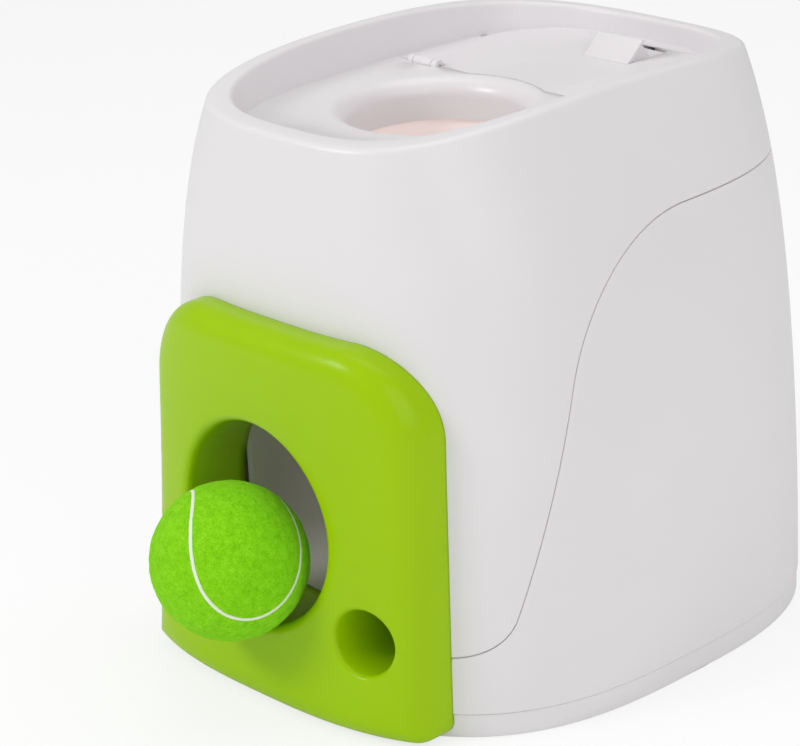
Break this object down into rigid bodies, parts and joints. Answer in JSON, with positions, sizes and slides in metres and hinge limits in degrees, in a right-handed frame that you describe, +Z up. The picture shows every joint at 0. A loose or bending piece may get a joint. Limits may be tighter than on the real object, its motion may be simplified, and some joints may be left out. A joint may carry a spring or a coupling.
{
  "type": "gravity-fed dog ball and treat launcher",
  "caption": "Rounded tabletop housing with a sunken top inlet and treat lid, a bright front panel with ball and treat outlets, and a ball on its way out.",
  "frame": {"origin": "middle of the flat underside, on the surface that the object stands on", "axes": "+Z up, front panel faces -Y, +X to the right of someone facing the front panel"},
  "size_m": [0.246, 0.3074, 0.2504],
  "materials": {
    "housing": "satin moulded off-white plastic",
    "panel": "glossy moulded lime green plastic",
    "inner": "plain moulded grey-white plastic",
    "mechanism": "self-lubricating grey plastic",
    "bush": "turned brass",
    "steel": "zinc-plated steel",
    "feet": "moulded black rubber",
    "felt": "bright green woven felt with a pale seam"
  },
  "bodies": {
    "housing": {"base_plate": "housing", "rubber_feet": "feet", "base_screws": "steel", "lower_housing": "housing", "upper_housing": "housing", "front_panel": "panel", "panel_screws": "steel", "top_tray": "housing", "tray_screws": "steel", "lid_hinge_pins": "steel", "drop_tube": "inner", "ball_channel": "inner", "channel_supports": "inner", "treat_hopper": "inner", "mechanism_frame": "inner", "axle_bushes": "bush", "wheel_shroud": "inner", "treat_chute": "inner"},
    "lid": {"hopper_lid": "housing"},
    "latch": {"lid_latch": "housing"},
    "wheel": {"treat_wheel": "inner", "ratchet_wheel": "mechanism", "wheel_axle": "steel", "axle_clip": "steel"},
    "lever": {"trip_lever": "mechanism"},
    "pawl": {"drive_pawl": "mechanism"},
    "ball": {"play_ball": "felt"}
  },
  "joints": [
    {"name": "lid_hinge", "type": "hinge", "parent": "housing", "child": "lid", "pos_m": [0, 0.024, 0.232], "axis": [1, 0, 0], "range_deg": [0, 100]},
    {"name": "latch_slide", "type": "slide", "parent": "lid", "child": "latch", "axis": [0, 1, 0], "range_m": [0, 0.004]},
    {"name": "wheel_spin", "type": "hinge", "parent": "housing", "child": "wheel", "pos_m": [0.0645, 0.038, 0.128], "axis": [1, 0, 0], "continuous": true},
    {"name": "lever_lift", "type": "hinge", "parent": "housing", "child": "lever", "pos_m": [0.042, 0.038, 0.128], "axis": [-1, 0, 0], "range_deg": [0, 14]},
    {"name": "pawl_pivot", "type": "hinge", "parent": "lever", "child": "pawl", "pos_m": [0.045, 0.01359, 0.11904], "axis": [1, 0, 0], "range_deg": [0, 12]},
    {"name": "ball_roll", "type": "slide", "parent": "housing", "child": "ball", "axis": [0, 0.9397, 0.342], "range_m": [-0.06, 0.036]}
  ]
}
